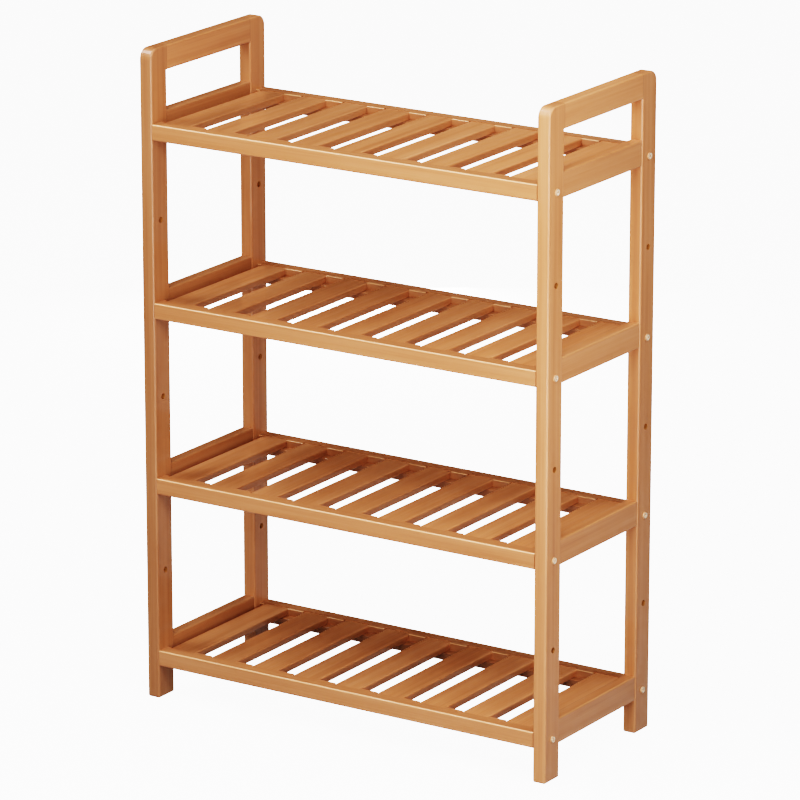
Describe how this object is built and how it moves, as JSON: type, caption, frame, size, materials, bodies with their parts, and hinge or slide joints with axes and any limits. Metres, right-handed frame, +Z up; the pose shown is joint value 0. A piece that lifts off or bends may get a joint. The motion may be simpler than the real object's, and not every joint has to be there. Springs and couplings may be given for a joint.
{
  "type": "tiered shoe rack",
  "caption": "Free-standing tiered rack for shoes: slatted wooden shelves bolted between two ladder-like side frames with rounded handle tops.",
  "frame": {"origin": "on the floor under the middle of the rack", "axes": "+Z up, -Y towards the front, +X to the right seen from the front"},
  "size_m": [0.604, 0.252, 0.855],
  "materials": {
    "post_wood": "semi-gloss clear lacquer over honey-brown wood",
    "rail_wood": "semi-gloss clear lacquer over honey-brown wood",
    "slat_wood": "semi-gloss clear lacquer over honey-brown wood",
    "bolt_steel": "bright zinc plate",
    "insert_metal": "plain turned metal"
  },
  "bodies": {
    "root": {"left_front_post": "post_wood", "left_rear_post": "post_wood", "left_handle_rail": "post_wood", "left_side_rail_1": "rail_wood", "left_side_rail_2": "rail_wood", "left_side_rail_3": "rail_wood", "left_side_rail_4": "rail_wood", "right_front_post": "post_wood", "right_rear_post": "post_wood", "right_handle_rail": "post_wood", "right_side_rail_1": "rail_wood", "right_side_rail_2": "rail_wood", "right_side_rail_3": "rail_wood", "right_side_rail_4": "rail_wood", "front_rail_1": "rail_wood", "rear_rail_1": "rail_wood", "shelf_1_slat_1": "slat_wood", "shelf_1_slat_2": "slat_wood", "shelf_1_slat_3": "slat_wood", "shelf_1_slat_4": "slat_wood", "shelf_1_slat_5": "slat_wood", "shelf_1_slat_6": "slat_wood", "shelf_1_slat_7": "slat_wood", "shelf_1_slat_8": "slat_wood", "shelf_1_slat_9": "slat_wood", "front_rail_2": "rail_wood", "rear_rail_2": "rail_wood", "shelf_2_slat_1": "slat_wood", "shelf_2_slat_2": "slat_wood", "shelf_2_slat_3": "slat_wood", "shelf_2_slat_4": "slat_wood", "shelf_2_slat_5": "slat_wood", "shelf_2_slat_6": "slat_wood", "shelf_2_slat_7": "slat_wood", "shelf_2_slat_8": "slat_wood", "shelf_2_slat_9": "slat_wood", "front_rail_3": "rail_wood", "rear_rail_3": "rail_wood", "shelf_3_slat_1": "slat_wood", "shelf_3_slat_2": "slat_wood", "shelf_3_slat_3": "slat_wood", "shelf_3_slat_4": "slat_wood", "shelf_3_slat_5": "slat_wood", "shelf_3_slat_6": "slat_wood", "shelf_3_slat_7": "slat_wood", "shelf_3_slat_8": "slat_wood", "shelf_3_slat_9": "slat_wood", "front_rail_4": "rail_wood", "rear_rail_4": "rail_wood", "shelf_4_slat_1": "slat_wood", "shelf_4_slat_2": "slat_wood", "shelf_4_slat_3": "slat_wood", "shelf_4_slat_4": "slat_wood", "shelf_4_slat_5": "slat_wood", "shelf_4_slat_6": "slat_wood", "shelf_4_slat_7": "slat_wood", "shelf_4_slat_8": "slat_wood", "shelf_4_slat_9": "slat_wood", "socket_bolts": "bolt_steel", "threaded_inserts": "insert_metal"}
  },
  "joints": []
}
